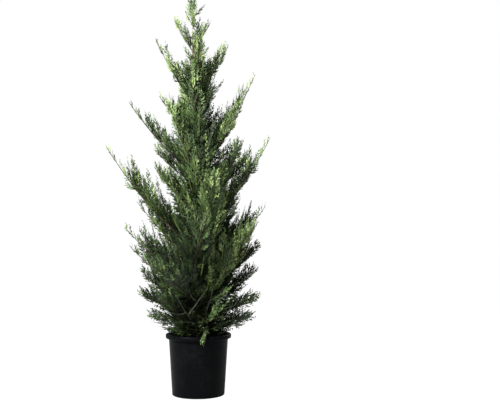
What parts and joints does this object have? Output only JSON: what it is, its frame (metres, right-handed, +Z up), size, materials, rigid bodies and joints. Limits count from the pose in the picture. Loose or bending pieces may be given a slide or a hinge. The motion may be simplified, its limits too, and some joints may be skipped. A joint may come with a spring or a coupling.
{
  "type": "potted conifer",
  "caption": "Young upright conifer with feathery upswept sprays, in a round black nursery pot with a rolled rim.",
  "frame": {"origin": "middle of the pot's flat underside, on the surface it stands on", "axes": "+Z up along the pot's axis, -Y towards the front of the plant, +X to its right seen from the front"},
  "size_m": [0.876, 0.7121, 2.0997],
  "materials": {
    "scale_leaf": "matte",
    "bark": "matte",
    "compost": "matte",
    "pot_plastic": "satin"
  },
  "bodies": {
    "root": {"bough_07": "bark", "bough_11": "bark", "bough_12": "bark", "bough_14": "bark", "bough_15": "bark", "bough_19": "bark", "bough_21": "bark", "bough_31": "bark", "bough_32": "bark", "bough_33": "bark", "bough_34": "bark", "bough_35": "bark", "bough_36": "bark", "compost": "compost", "foliage_01": "scale_leaf", "foliage_02": "scale_leaf", "foliage_03": "scale_leaf", "foliage_04": "scale_leaf", "foliage_05": "scale_leaf", "foliage_06": "scale_leaf", "foliage_07": "scale_leaf", "foliage_08": "scale_leaf", "foliage_09": "scale_leaf", "foliage_10": "scale_leaf", "foliage_11": "scale_leaf", "foliage_12": "scale_leaf", "foliage_13": "scale_leaf", "foliage_14": "scale_leaf", "foliage_15": "scale_leaf", "foliage_16": "scale_leaf", "foliage_17": "scale_leaf", "foliage_18": "scale_leaf", "foliage_19": "scale_leaf", "foliage_20": "scale_leaf", "foliage_21": "scale_leaf", "foliage_22": "scale_leaf", "foliage_23": "scale_leaf", "foliage_24": "scale_leaf", "foliage_25": "scale_leaf", "foliage_26": "scale_leaf", "foliage_27": "scale_leaf", "foliage_28": "scale_leaf", "foliage_29": "scale_leaf", "foliage_30": "scale_leaf", "foliage_31": "scale_leaf", "foliage_32": "scale_leaf", "foliage_33": "scale_leaf", "foliage_34": "scale_leaf", "foliage_35": "scale_leaf", "foliage_36": "scale_leaf", "foliage_37": "scale_leaf", "foliage_38": "scale_leaf", "foliage_39": "scale_leaf", "foliage_40": "scale_leaf", "foliage_41": "scale_leaf", "foliage_42": "scale_leaf", "foliage_43": "scale_leaf", "pot": "pot_plastic", "stem": "bark"}
  },
  "joints": []
}
